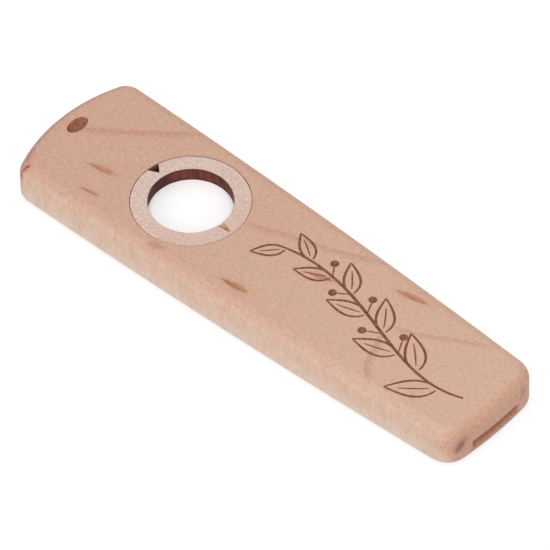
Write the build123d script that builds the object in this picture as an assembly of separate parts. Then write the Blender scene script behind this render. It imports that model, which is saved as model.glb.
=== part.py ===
from build123d import *

import os
from math import sqrt

# A flat wooden kazoo. Its hollow body is glued up from two boards, and a push-fit ring
# clamps a taut membrane over the air chamber. All sizes are in millimetres.
# The origin is the middle of the footprint, X runs to the mouth end and Z points up.

# Body outline seen from above, with the widths taken between the corners before they are rounded
BODY_LENGTH = 125.0
WIDE_END_WIDTH = 35.1
MOUTH_END_WIDTH = 27.5
SIDE_BOW = 0.9
WIDE_END_RADIUS = 39.0
MOUTH_END_RADIUS = 106.0
WIDE_CORNER_RADIUS = 4.3
MOUTH_CORNER_RADIUS = 5.3

# Round-over of the body's long edges, which leaves at least this much of each corner's radius
TOP_EDGE_ROUND = 3.0
BOTTOM_EDGE_ROUND = 2.0
LEAST_CORNER_LEFT = 0.3

# Air way milled into the lower board, from the mouth slot to just past the vent
AIRWAY_FLOOR = 2.4
AIRWAY_HEIGHT = 2.2
AIRWAY_WIDTH = 14.0
AIRWAY_END_RADIUS = 3.0
AIRWAY_PAST_VENT = 0.4

# Oval vent near the wide end, which also takes a cord
VENT_WALL = 3.8
VENT_WIDTH = 3.2
VENT_LENGTH = 5.6

# Push-fit ring, flush with the top of the body
RING_FROM_WIDE_END = 38.5
RING_HOLE_DIAMETER = 18.4
RING_WIDTH = 3.7
RING_THICKNESS = 3.35
RING_FIT_CLEARANCE = 0.1
RING_TURN = -8.0

# Prising notch in the ring's outer edge, and the shallow groove on the other side
NOTCH_WIDTH = 3.2
NOTCH_DEPTH = 2.3
GROOVE_WIDTH = 1.5
GROOVE_DEPTH = 0.7
GROOVE_TURN = 4.0

# Membrane, a film bonded to a stiff hoop, and the ledge in the upper board that it rests on
FILM_THICKNESS = 0.1
HOOP_THICKNESS = 0.5
HOOP_WIDTH = 2.4
MEMBRANE_CLEARANCE = 0.3
LEDGE_WIDTH = 3.5
LEDGE_THICKNESS = 1.45

# Heights from the underside up
joint_z = AIRWAY_FLOOR + AIRWAY_HEIGHT
ledge_z = joint_z + LEDGE_THICKNESS
film_z = ledge_z + HOOP_THICKNESS
ring_z = film_z + FILM_THICKNESS
top_z = ring_z + RING_THICKNESS

# Places along the body and radii about the ring's axis
wide_end_x = -BODY_LENGTH / 2
mouth_end_x = BODY_LENGTH / 2
vent_x = wide_end_x + VENT_WALL + VENT_WIDTH / 2
ring_x = wide_end_x + RING_FROM_WIDE_END
ring_hole_radius = RING_HOLE_DIAMETER / 2
ring_radius = ring_hole_radius + RING_WIDTH
recess_radius = ring_radius + RING_FIT_CLEARANCE
membrane_radius = recess_radius - MEMBRANE_CLEARANCE
chamber_radius = recess_radius - LEDGE_WIDTH


def end_sagitta(radius, width):
    """How far an end of this radius bows out between its two corners."""
    return radius - sqrt(radius**2 - (width / 2) ** 2)


def body_outline():
    """The tapered plan of the body, with bowed ends and sides and rounded corners."""
    wide_x = wide_end_x + end_sagitta(WIDE_END_RADIUS, WIDE_END_WIDTH)
    mouth_x = mouth_end_x - end_sagitta(MOUTH_END_RADIUS, MOUTH_END_WIDTH)
    wide_y = WIDE_END_WIDTH / 2
    mouth_y = MOUTH_END_WIDTH / 2
    side_x = (wide_x + mouth_x) / 2
    side_y = (wide_y + mouth_y) / 2 + SIDE_BOW
    edges = [
        ThreePointArc((wide_x, wide_y), (wide_end_x, 0), (wide_x, -wide_y)),
        ThreePointArc((wide_x, -wide_y), (side_x, -side_y), (mouth_x, -mouth_y)),
        ThreePointArc((mouth_x, -mouth_y), (mouth_end_x, 0), (mouth_x, mouth_y)),
        ThreePointArc((mouth_x, mouth_y), (side_x, side_y), (wide_x, wide_y)),
    ]
    plan = make_face(edges)
    plan = fillet(plan.vertices().sort_by(Axis.X)[:2], WIDE_CORNER_RADIUS)
    return fillet(plan.vertices().sort_by(Axis.X)[-2:], MOUTH_CORNER_RADIUS)


def rounded_blank():
    """The glued-up body before it is hollowed, with its top and bottom edges rounded over."""
    blank = extrude(body_outline(), top_z)
    corner_limit = min(WIDE_CORNER_RADIUS, MOUTH_CORNER_RADIUS) - LEAST_CORNER_LEFT
    top_round = min(TOP_EDGE_ROUND, corner_limit, top_z - joint_z)
    bottom_round = min(BOTTOM_EDGE_ROUND, corner_limit, joint_z)
    blank = fillet(blank.faces().sort_by(Axis.Z)[-1].edges(), top_round)
    return fillet(blank.faces().sort_by(Axis.Z)[0].edges(), bottom_round)


def disc(radius, low_z, high_z):
    """An upright disc on the ring's axis, between two heights."""
    return Pos(ring_x, 0, low_z) * extrude(Circle(radius), high_z - low_z)


def vent():
    """The oval hole down through both boards."""
    oval = Pos(vent_x, 0) * Ellipse(VENT_WIDTH / 2, VENT_LENGTH / 2)
    return extrude(oval, top_z)


def airway():
    """The flat channel from the mouth slot to the vent, with a round pocket under the membrane."""
    far_end_x = vent_x - VENT_WIDTH / 2 - AIRWAY_PAST_VENT
    channel = Pos(far_end_x, 0) * Rectangle(
        mouth_end_x - far_end_x, AIRWAY_WIDTH, align=(Align.MIN, Align.CENTER)
    )
    channel = fillet(channel.vertices().sort_by(Axis.X)[:2], AIRWAY_END_RADIUS)
    pocket = Pos(ring_x, 0) * Circle(chamber_radius)
    return Pos(0, 0, AIRWAY_FLOOR) * extrude(channel + pocket, AIRWAY_HEIGHT)


def upper_board(blank):
    """The board on top, with the ring's recess, the air chamber below it and the vent."""
    board = split(blank, bisect_by=Plane.XY.offset(joint_z), keep=Keep.TOP)
    recess = disc(recess_radius, ledge_z, top_z)
    chamber = disc(chamber_radius, joint_z, ledge_z)
    return board - recess - chamber - vent()


def lower_board(blank):
    """The board below, with the air way open at the mouth."""
    board = split(blank, bisect_by=Plane.XY.offset(joint_z), keep=Keep.BOTTOM)
    return board - airway() - vent()


def prising_notch():
    """A V cut down through the ring's outer edge, drawn with the ring's axis at the origin."""
    outline = Polyline(
        (NOTCH_DEPTH - ring_radius, 0),
        (-ring_radius, NOTCH_WIDTH / 2),
        (-ring_radius - NOTCH_DEPTH, 0),
        (-ring_radius, -NOTCH_WIDTH / 2),
        close=True,
    )
    return Pos(0, 0, ring_z) * extrude(make_face(outline), RING_THICKNESS)


def tapered_groove():
    """A shallow V that narrows from the ring's hole to a point at its outer edge."""
    section = Polyline(
        (-GROOVE_WIDTH / 2, top_z),
        (0, top_z - GROOVE_DEPTH),
        (GROOVE_WIDTH / 2, top_z),
        close=True,
    )
    wide_end = Plane.YZ.offset(ring_hole_radius - GROOVE_DEPTH) * make_face(section)
    return Rot(0, 0, GROOVE_TURN) * loft([wide_end, Vertex(ring_radius, 0, top_z)])


def retaining_ring():
    """The flat ring that holds the membrane down, with its notch and groove."""
    ring = disc(ring_radius, ring_z, top_z) - disc(ring_hole_radius, ring_z, top_z)
    to_ring = Pos(ring_x, 0, 0) * Rot(0, 0, RING_TURN)
    return ring - to_ring * prising_notch() - to_ring * tapered_groove()


def membrane_hoop():
    """The stiff hoop that rests on the ledge of the recess."""
    return disc(membrane_radius, ledge_z, film_z) - disc(membrane_radius - HOOP_WIDTH, ledge_z, film_z)


def membrane_film():
    """The film stretched over the hoop."""
    return disc(membrane_radius, film_z, ring_z)


body_blank = rounded_blank()
pieces = {
    "upper_board": upper_board(body_blank),
    "lower_board": lower_board(body_blank),
    "retaining_ring": retaining_ring(),
    "membrane_hoop": membrane_hoop(),
    "membrane_film": membrane_film(),
}
os.makedirs("parts", exist_ok=True)
for node, piece in pieces.items():
    export_step(piece, f"parts/{node}.step")
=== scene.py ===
"""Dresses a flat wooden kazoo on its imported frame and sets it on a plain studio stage."""

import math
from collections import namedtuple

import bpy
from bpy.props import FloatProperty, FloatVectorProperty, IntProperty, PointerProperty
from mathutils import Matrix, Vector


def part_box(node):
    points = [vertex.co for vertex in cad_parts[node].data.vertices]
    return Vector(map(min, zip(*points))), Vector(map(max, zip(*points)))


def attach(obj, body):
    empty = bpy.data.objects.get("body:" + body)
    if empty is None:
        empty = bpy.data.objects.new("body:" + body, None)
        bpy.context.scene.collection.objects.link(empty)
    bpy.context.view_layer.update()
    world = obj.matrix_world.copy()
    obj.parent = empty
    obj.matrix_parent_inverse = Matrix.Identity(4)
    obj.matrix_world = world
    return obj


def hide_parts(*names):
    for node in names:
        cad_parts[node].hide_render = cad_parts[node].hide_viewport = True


bl_info = {
    "name": "Wooden kazoo",
    "version": (1, 0, 0),
    "blender": (4, 5, 0),
    "location": "View3D > Sidebar > Kazoo",
    "description": "Builds the boards, ring and membrane of a flat wooden kazoo around its packed frame",
    "category": "Object",
}

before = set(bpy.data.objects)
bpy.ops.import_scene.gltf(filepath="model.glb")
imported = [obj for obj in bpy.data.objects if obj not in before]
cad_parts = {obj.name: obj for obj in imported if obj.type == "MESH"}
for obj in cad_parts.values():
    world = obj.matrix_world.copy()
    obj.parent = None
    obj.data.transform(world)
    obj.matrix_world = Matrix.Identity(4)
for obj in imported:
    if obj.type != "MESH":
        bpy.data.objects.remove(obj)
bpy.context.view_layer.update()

# Heights and ends that come from the frame, in metres
board_low, board_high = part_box("upper_board")
hoop_low, hoop_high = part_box("membrane_hoop")
TOP_Z = board_high.z
JOINT_Z = board_low.z
LEDGE_Z = hoop_low.z
FILM_Z = hoop_high.z
RING_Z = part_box("retaining_ring")[0].z
WIDE_END_X = board_low.x
MOUTH_END_X = board_high.x

# How far a cutter reaches past the wood that it cuts, in metres
BEYOND = 0.001

MILLIMETRE = 0.001
SMOOTH_BELOW = math.radians(30)
WHITE = (1.0, 1.0, 1.0, 1.0)


def srgb(red, green, blue):
    """A colour given in 8-bit display values, as the linear values that Blender works in."""
    shares = [value / 255 for value in (red, green, blue)]
    return [s / 12.92 if s <= 0.04045 else ((s + 0.055) / 1.055) ** 2.4 for s in shares]


def metres(name, description, default):
    """A length property."""
    return FloatProperty(
        name=name, description=description, default=default, unit="LENGTH", precision=5, step=0.01
    )


def point(name, description, *default):
    """A property for a place in the plan or in space."""
    return FloatVectorProperty(
        name=name, description=description, default=default, size=len(default), unit="LENGTH", precision=5
    )


def degrees(name, description, default):
    """An angle property."""
    return FloatProperty(
        name=name, description=description, default=math.radians(default), subtype="ANGLE"
    )


def watts(name, description, default):
    """A property for a lamp's power."""
    return FloatProperty(name=name, description=description, default=default, unit="POWER")


def number(name, description, default):
    """A property for a share or a strength."""
    return FloatProperty(name=name, description=description, default=default)


def tint(name, description, *display_values):
    """A colour property, with its default given in 8-bit display values."""
    return FloatVectorProperty(
        name=name, description=description, default=srgb(*display_values), subtype="COLOR", min=0.0, max=1.0
    )


class KazooBodySizes(bpy.types.PropertyGroup):
    """Sizes of the two boards that make the body."""

    wide_end_width: metres("Wide end width", "Width between the wide end's corners", 0.0351)
    mouth_end_width: metres("Mouth end width", "Width between the mouth end's corners", 0.0275)
    side_bow: metres("Side bow", "How far each long side bows out", 0.0009)
    wide_end_radius: metres("Wide end radius", "Radius of the wide end's curve", 0.039)
    mouth_end_radius: metres("Mouth end radius", "Radius of the mouth end's curve", 0.106)
    wide_corner_radius: metres("Wide corner radius", "Rounding of the wide end's corners", 0.0043)
    mouth_corner_radius: metres("Mouth corner radius", "Rounding of the mouth end's corners", 0.0053)
    top_edge_round: metres("Top edge round", "Round-over of the top edge", 0.003)
    bottom_edge_round: metres("Bottom edge round", "Round-over of the bottom edge", 0.002)
    airway_floor: metres("Air way floor", "Wood left under the air way", 0.0024)
    airway_width: metres("Air way width", "Width of the air way and the mouth slot", 0.014)
    airway_end_radius: metres("Air way end radius", "Corner radius at the blind end of the air way", 0.003)
    airway_past_vent: metres("Air way past vent", "How far the air way reaches past the vent", 0.0004)
    vent_wall: metres("Vent wall", "Wood between the wide end and the vent", 0.0038)
    vent_width: metres("Vent width", "Size of the vent along the body", 0.0032)
    vent_length: metres("Vent length", "Size of the vent across the body", 0.0056)
    ring_from_wide_end: metres("Ring place", "Distance from the wide end to the ring's axis", 0.0385)
    recess_radius: metres("Recess radius", "Radius of the recess that holds the ring", 0.013)
    chamber_radius: metres("Chamber radius", "Radius of the air chamber under the membrane", 0.0095)
    rim_softening: metres("Rim softening", "Small chamfer on the rims of the holes", 0.00004)


class KazooRingSizes(bpy.types.PropertyGroup):
    """Sizes of the push-fit ring and the membrane under it."""

    hole_radius: metres("Hole radius", "Radius of the ring's hole", 0.0092)
    outer_radius: metres("Outer radius", "Outer radius of the ring", 0.0129)
    edge_softening: metres("Edge softening", "Small rounding of the ring's edges", 0.00006)
    turn: degrees("Ring turn", "How far the ring is turned in its recess", -8)
    notch_width: metres("Notch width", "Width of the prising notch at the ring's edge", 0.0032)
    notch_depth: metres("Notch depth", "How far the prising notch reaches in", 0.0023)
    groove_width: metres("Groove width", "Width of the tapered groove at the hole", 0.0016)
    groove_tip_width: metres("Groove tip width", "Width of the groove where it ends", 0.0007)
    groove_length: metres("Groove length", "How far the groove reaches out from the hole", 0.0031)
    groove_depth: metres("Groove depth", "Depth of the tapered groove at the hole", 0.0003)
    groove_turn: degrees("Groove turn", "How far the groove is turned from the line through the notch", 4)
    membrane_radius: metres("Membrane radius", "Outer radius of the hoop and the film", 0.0127)
    hoop_width: metres("Hoop width", "Width of the hoop", 0.0024)
    ripple: metres("Film ripple", "Height of the slight waves in the taut film", 0.00002)


class KazooSprig(bpy.types.PropertyGroup):
    """The leafy sprig burnt into the top of the body."""

    stem_start: point("Stem start", "Foot of the stem", 0.056, -0.003)
    stem_start_handle: point("Start handle", "Pulls the foot of the stem", 0.04, -0.01)
    stem_end_handle: point("End handle", "Pulls the tip of the stem", 0.02, 0.0095)
    stem_end: point("Stem end", "Tip of the stem", -0.0015, 0.003)
    leaf_count: IntProperty(name="Leaves", description="Number of leaves along the stem", default=9)
    leaf_length: metres("Leaf length", "Length of the lowest leaf", 0.0112)
    leaf_bulge: number("Leaf bulge", "Half the leaf's width as a share of its length", 0.2)
    leaf_curl: number("Leaf curl", "How far a leaf's tip curls, as a share of its length", -0.12)
    leaf_angle: degrees("Leaf angle", "Angle between a leaf and the stem", 41)
    tip_size: number("Tip size", "Size of the last leaf as a share of the first", 0.68)
    line_radius: metres("Line radius", "Radius of the round cutter of a burnt line", 0.00042)
    line_lift: metres("Line lift", "Height of the cutter's middle above the wood", 0.00028)
    berry_count: IntProperty(name="Berries", description="Number of berries", default=5)
    berry_radius: metres("Berry radius", "Radius of a berry", 0.00115)
    stalk_length: metres("Stalk length", "Length of a berry's stalk", 0.0046)


class KazooColours(bpy.types.PropertyGroup):
    """Colours of the woods, the scorch marks and the membrane."""

    wood: tint("Wood", "Main tone of the body", 202, 163, 141)
    wood_pink: tint("Pink wood", "Pinker patches of the body", 203, 160, 140)
    wood_light: tint("Light wood", "Lighter tone towards the mouth end", 212, 179, 155)
    wood_warm: tint("Warm wood", "Deeper tone of the fibres and bands", 180, 128, 103)
    growth: tint("Growth line", "Tone of the growth lines", 184, 131, 113)
    side_wood: tint("Side wood", "Tone of the long sides, where the rays show", 225, 190, 168)
    # painted light: besides the pale rays and stripes of the sides, this tone paints floor light low on the
    # long sides
    side_pale: tint("Pale side wood", "Palest tone, low on the long sides", 230, 208, 193)
    end_wood: tint("End wood", "Tone of the end grain", 202, 153, 132)
    end_warm: tint("Warm end wood", "Tone of the round-over at the mouth", 204, 152, 122)
    # painted shade: the greyer tone of the wide end's face, which is turned from the light
    wide_end: tint("Wide end", "Greyer end grain at the wide end", 154, 126, 119)
    corner_wood: tint("Corner wood", "Tone of the mouth end's corners", 221, 174, 150)
    smudge: tint("Smudge", "Dark marks on the corners of the ends", 124, 60, 52)
    smudge_halo: tint("Smudge halo", "Redder wood round a dark mark", 205, 138, 116)
    streak: tint("Mineral streak", "Tone of the short brown streaks", 183, 122, 91)
    streak_dark: tint("Streak strands", "Darker strands in a brown streak", 153, 95, 68)
    # painted light: paler and redder than the body's wood, to stand in for light bouncing inside the air
    # way
    milled: tint("Milled wood", "Main tone of the air way", 248, 191, 160)
    milled_dark: tint("Milled streaks", "Redder streaks in the air way", 218, 144, 115)
    # painted shade: darkens the wood below the mouth slot and the air way's floor and roof at the mouth
    lip: tint("Slot lip", "Browned wood at the lower edge of the mouth slot", 152, 112, 90)
    vent_dark: tint("Vent mottle", "Darkest tone of the vent's wall", 164, 100, 78)
    vent_rim: tint("Vent rim", "Tone of the vent's wall at its mouth", 222, 160, 128)
    # painted light: the vent's wall grows paler further in, against the shade there
    vent_deep: tint("Vent depth", "Tone of the vent's wall further in", 244, 206, 176)
    scorch_dark: tint("Dark scorch", "Deepest tone of burnt wood", 64, 26, 20)
    scorch_light: tint("Light scorch", "Tone of well burnt wood", 131, 63, 49)
    # painted light: used where light falls in at the top of the recess walls
    scorch_pale: tint("Pale scorch", "Tone of lightly burnt wood", 172, 118, 102)
    line_dark: tint("Dark line", "Deepest tone of the burnt sprig", 101, 56, 39)
    line_light: tint("Light line", "Palest tone of the burnt sprig", 146, 93, 68)
    ring_wood: tint("Ring wood", "Main tone of the ring", 226, 203, 193)
    ring_warm: tint("Warm ring wood", "Deeper tone of the ring", 194, 161, 146)
    groove: tint("Groove", "Tone of the ring's shallow groove", 200, 162, 141)
    # also paints the shade along one edge of the groove
    groove_dark: tint("Dark groove", "Darkest tone of the groove", 120, 90, 74)
    groove_spot: tint("Groove spot", "Warm spot in the groove", 190, 130, 94)
    film: tint("Film", "Tone of the film", 250, 250, 250)
    film_shade: tint("Film shade", "Slightly greyer tone of the film", 247, 247, 247)
    # painted light: the film glows a little, though nothing lights it from below
    film_glow: number("Film glow", "Strength of the light that comes through the film", 0.09)
    card: tint("Card", "Main tone of the hoop", 226, 220, 208)
    card_fibre: tint("Card fibre", "Tone of the fibres in the hoop", 204, 194, 178)


class KazooStage(bpy.types.PropertyGroup):
    """Camera, lights and floor."""

    azimuth: degrees("Azimuth", "Turn of the camera round the object", 43.833)
    elevation: degrees("Elevation", "Height of the camera as an angle", 47.587)
    roll: degrees("Roll", "Roll of the camera about its view line", 1.41)
    aim: point("Aim", "Point that the camera looks at", 0.000536, -0.000455, 0.005064)
    distance: metres("Distance", "Distance from the camera to its aim", 1.8246)
    lens: FloatProperty(name="Lens", description="Focal length", default=567.99, unit="CAMERA")
    sky: number("Sky", "Strength of the even light from all sides", 0.41)
    top_power: watts("Top power", "Power of the lamp overhead", 6.4)
    top_place: point("Top place", "Where the lamp overhead hangs", 0.1, -0.15, 1.1)
    key_power: watts("Key power", "Power of the lamp at the front", 2.0)
    key_place: point("Key place", "Where the lamp at the front hangs", -0.3, -0.85, 0.5)
    fill_power: watts("Fill power", "Power of the lamp at the mouth's side", 1.45)
    fill_place: point("Fill place", "Where the lamp at the mouth's side hangs", 0.75, -0.3, 0.55)
    lamp_size: metres("Lamp size", "Width of each lamp", 0.7)
    floor_size: metres("Floor size", "Width of the floor", 6.0)
    floor_drop: metres("Floor drop", "How far the floor lies below the object", 0.0001)
    floor_glow: number("Floor glow", "How much of the floor's white doesn't depend on light", 0.76)
    floor_bounce: number("Floor bounce", "Light that the floor gives to the object", 0.95)
    floor_shade: number("Floor shade", "How much of the floor's white can fall into shadow", 0.28)


def joined(operation):
    """An operator that joins a wire with another value."""
    return lambda wire, other: wire.graph.maths(operation, wire, other)


def joined_reversed(operation):
    """The same operator with the other value first."""
    return lambda wire, other: wire.graph.maths(operation, other, wire)


class Wire:
    """An output socket of a node tree that takes part in Python expressions."""

    def __init__(self, graph, socket):
        self.graph = graph
        self.socket = socket

    def out(self, name):
        """Another output of the same node."""
        return Wire(self.graph, self.socket.node.outputs[name])

    def __abs__(self):
        return self.graph.maths("ABSOLUTE", self)

    __add__ = joined("ADD")
    __radd__ = joined_reversed("ADD")
    __sub__ = joined("SUBTRACT")
    __rsub__ = joined_reversed("SUBTRACT")
    __mul__ = joined("MULTIPLY")
    __rmul__ = joined_reversed("MULTIPLY")
    __truediv__ = joined("DIVIDE")
    __rtruediv__ = joined_reversed("DIVIDE")
    __pow__ = joined("POWER")
    __rpow__ = joined_reversed("POWER")
    __mod__ = joined("FLOORED_MODULO")
    __rmod__ = joined_reversed("FLOORED_MODULO")


class Graph:
    """A node tree that is being built."""

    def __init__(self, tree):
        self.tree = tree

    def node(self, kind, settings=None, sockets=None, output=0):
        """Adds a node, sets it up, fills or links its inputs, and returns one of its outputs."""
        made = self.tree.nodes.new(kind)
        for name, value in (settings or {}).items():
            setattr(made, name, value)
        for key, value in (sockets or {}).items():
            if isinstance(value, Wire):
                self.tree.links.new(value.socket, made.inputs[key])
            else:
                made.inputs[key].default_value = value
        return Wire(self, made.outputs[output])

    def maths(self, operation, *values):
        """A number from numbers."""
        return self.node("ShaderNodeMath", {"operation": operation}, dict(enumerate(values)))

    def vector_maths(self, operation, *values, output="Vector"):
        """A vector, or a number with the output Value, from vectors."""
        return self.node("ShaderNodeVectorMath", {"operation": operation}, dict(enumerate(values)), output)

    def vector(self, x, y, z):
        """A vector from its three parts."""
        return self.node("ShaderNodeCombineXYZ", sockets={"X": x, "Y": y, "Z": z})

    def axes(self, vector):
        """The three parts of a vector."""
        x = self.node("ShaderNodeSeparateXYZ", sockets={0: vector}, output="X")
        return x, x.out("Y"), x.out("Z")


class MaterialGraph(Graph):
    """A material made of one principled shader and the patterns that feed it, in millimetres."""

    def __init__(self, name):
        self.material = bpy.data.materials.new(name)
        self.material.use_nodes = True
        super().__init__(self.material.node_tree)
        self.shader = self.tree.nodes["Principled BSDF"]
        coordinates = self.node("ShaderNodeTexCoord", output="Object")
        self.place = self.node(
            "ShaderNodeVectorMath", {"operation": "SCALE"}, {0: coordinates, "Scale": 1 / MILLIMETRE}
        )
        self.x, self.y, self.z = self.axes(self.place)
        self.facing_x, self.facing_y, self.facing_z = self.axes(coordinates.out("Normal"))

    @property
    def depth(self):
        """How far below the top face."""
        return TOP_Z / MILLIMETRE - self.z

    @property
    def from_mouth(self):
        """How far along the body from the mouth end."""
        return MOUTH_END_X / MILLIMETRE - self.x

    def noise(self, frequency, detail=2.0, roughness=0.5, shift=0.0, place=None):
        """Cloudy noise from 0 to 1, with its own frequency per millimetre along each axis."""
        spread = self.vector_maths("MULTIPLY", place or self.place, frequency)
        moved = self.vector_maths("ADD", spread, (shift, shift, shift))
        return self.node(
            "ShaderNodeTexNoise",
            sockets={"Vector": moved, "Scale": 1.0, "Detail": detail, "Roughness": roughness},
        )

    def step(self, value, start, end):
        """Goes smoothly from 0 to 1 as a value passes, upwards or downwards, from start to end."""
        return self.node(
            "ShaderNodeMapRange",
            {"interpolation_type": "SMOOTHSTEP"},
            {"Value": value, "From Min": start, "From Max": end},
        )

    def mix(self, factor, first, second):
        """A colour between two colours."""
        return self.node(
            "ShaderNodeMix",
            {"data_type": "RGBA"},
            {0: factor, 6: opaque(first), 7: opaque(second)},
            output=2,
        )

    def paint(self, tone, *layers):
        """Lays colours over a tone in turn, each through its mask."""
        for mask, colour in layers:
            tone = self.mix(mask, tone, colour)
        return tone

    def finish(self, colour, roughness, height, bump_distance, specular=0.5):
        """Feeds the shader and returns the material, with the bump's distance in metres."""
        normal = self.node(
            "ShaderNodeBump", sockets={"Strength": 1.0, "Distance": bump_distance, "Height": height}
        )
        for name, wire in (("Base Color", colour), ("Roughness", roughness), ("Normal", normal)):
            self.tree.links.new(wire.socket, self.shader.inputs[name])
        self.shader.inputs["Specular IOR Level"].default_value = specular
        return self.material


def opaque(tone):
    """A colour with full alpha, or the wire that carries one."""
    return tone if isinstance(tone, Wire) else (*tone, 1.0)


class GeometryGraph(Graph):
    """A Geometry Nodes tree with named inputs."""

    def __init__(self, name):
        super().__init__(bpy.data.node_groups.new(name, "GeometryNodeTree"))
        self.tree.interface.new_socket("Geometry", in_out="OUTPUT", socket_type="NodeSocketGeometry")
        self.inputs = self.tree.nodes.new("NodeGroupInput")

    def given(self, name, kind="Float"):
        """A named input of the tree."""
        self.tree.interface.new_socket(name, in_out="INPUT", socket_type="NodeSocket" + kind)
        return Wire(self, self.inputs.outputs[name])

    def finish(self, geometry):
        """Realizes what is instanced, gives it the material and ends the tree."""
        whole = self.node("GeometryNodeRealizeInstances", sockets={"Geometry": geometry})
        material = self.given("Material", "Material")
        dressed = self.node("GeometryNodeSetMaterial", sockets={"Geometry": whole, "Material": material})
        group_output = self.tree.nodes.new("NodeGroupOutput")
        self.tree.links.new(dressed.socket, group_output.inputs[0])
        return self.tree


def new_object(name, data):
    """A new object in the scene."""
    made = bpy.data.objects.new(name, data)
    bpy.context.scene.collection.objects.link(made)
    return made


def settle(piece):
    """Turns what a piece's modifiers make into its own plain mesh."""
    depsgraph = bpy.context.evaluated_depsgraph_get()
    depsgraph.update()
    mesh = bpy.data.meshes.new_from_object(
        piece.evaluated_get(depsgraph), preserve_all_data_layers=True, depsgraph=depsgraph
    )
    piece.modifiers.clear()
    piece.data = mesh
    return piece


def grow(name, tree, values):
    """A plain mesh made by a Geometry Nodes tree from the values of its inputs."""
    piece = new_object(name, bpy.data.meshes.new(name))
    modifier = piece.modifiers.new("nodes", "NODES")
    modifier.node_group = tree
    for item in tree.interface.items_tree:
        if item.in_out == "INPUT":
            modifier[item.identifier] = values[item.name]
    return settle(piece)


def dress(mesh, materials, finish):
    """Gives a mesh its materials, with one of them on its faces."""
    mesh.materials.clear()
    for material in materials:
        mesh.materials.append(material)
    finish_index = materials.index(finish)
    for face in mesh.polygons:
        face.material_index = finish_index


def shared(make, colours):
    """A material that both boards have, made once by the function that it is named after."""
    return bpy.data.materials.get(make.__name__) or make(colours)


def solid(name, loops, materials, finish):
    """A closed solid through loops of points, anticlockwise from above and from the lowest up."""
    count = len(loops[0])
    points = [place for loop in loops for place in loop]
    faces = [tuple(reversed(range(count)))]
    for low in range(0, len(points) - count, count):
        high = low + count
        for i in range(count):
            j = (i + 1) % count
            faces.append((low + i, low + j, high + j, high + i))
    faces.append(tuple(range(len(points) - count, len(points))))
    mesh = bpy.data.meshes.new(name)
    mesh.from_pydata(points, [], faces)
    dress(mesh, materials, finish)
    return new_object(name, mesh)


def cut(piece, cutter):
    """Takes a cutter's shape away from a piece, and the cutter with it."""
    modifier = piece.modifiers.new("cut", "BOOLEAN")
    modifier.operation = "DIFFERENCE"
    modifier.solver = "MANIFOLD"
    modifier.material_mode = "INDEX"
    modifier.object = cutter
    settle(piece)
    bpy.data.objects.remove(cutter)


def smooth(piece):
    """Smooth shading that keeps flat faces flat and sharp edges sharp."""
    piece.data.shade_smooth()
    piece.data.set_sharp_from_angle(angle=SMOOTH_BELOW)
    modifier = piece.modifiers.new("normals", "WEIGHTED_NORMAL")
    modifier.keep_sharp = True
    return settle(piece)


def hand_over(piece, body, node):
    """Lets a finished piece stand for a node of the frame."""
    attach(piece, body)
    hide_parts(node)


Circle = namedtuple("Circle", "centre radius")
Arc = namedtuple("Arc", "centre radius start end steps")


def arc_points(arc, inset=0.0, with_end=False):
    """Points along an arc drawn in by an inset, with or without its last point."""
    turn = (arc.end - arc.start) % math.tau
    count = arc.steps + 1 if with_end else arc.steps
    points = []
    for i in range(count):
        angle = arc.start + turn * i / arc.steps
        points.append(arc.centre + (arc.radius - inset) * Vector((math.cos(angle), math.sin(angle))))
    return points


def mirrored(arc):
    """The same arc on the other side of the body's middle line."""
    return Arc(Vector((arc.centre.x, -arc.centre.y)), arc.radius, -arc.end, -arc.start, arc.steps)


def circle_through(a, b, c):
    """The circle through three points."""
    to_b = b - a
    to_c = c - a
    turned_b = Vector((to_b.y, -to_b.x))
    turned_c = Vector((to_c.y, -to_c.x))
    across = 2 * to_b.cross(to_c)
    offset = (turned_c * to_b.length_squared - turned_b * to_c.length_squared) / across
    return Circle(a + offset, offset.length)


def corner_centre(first, second, radius, near):
    """Centre of the fillet that touches two circles from inside, beside their corner."""
    reach_1 = first.radius - radius
    reach_2 = second.radius - radius
    between = second.centre - first.centre
    along = (reach_1**2 - reach_2**2 + between.length_squared) / (2 * between.length)
    across = math.sqrt(reach_1**2 - along**2)
    forward = between.normalized()
    sideways = Vector((-forward.y, forward.x))
    choices = [first.centre + forward * along + sideways * side for side in (across, -across)]
    return min(choices, key=lambda choice: (choice - near).length)


def heading(start, end):
    """Angle of the line from one point to another."""
    return math.atan2(end.y - start.y, end.x - start.x)


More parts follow.
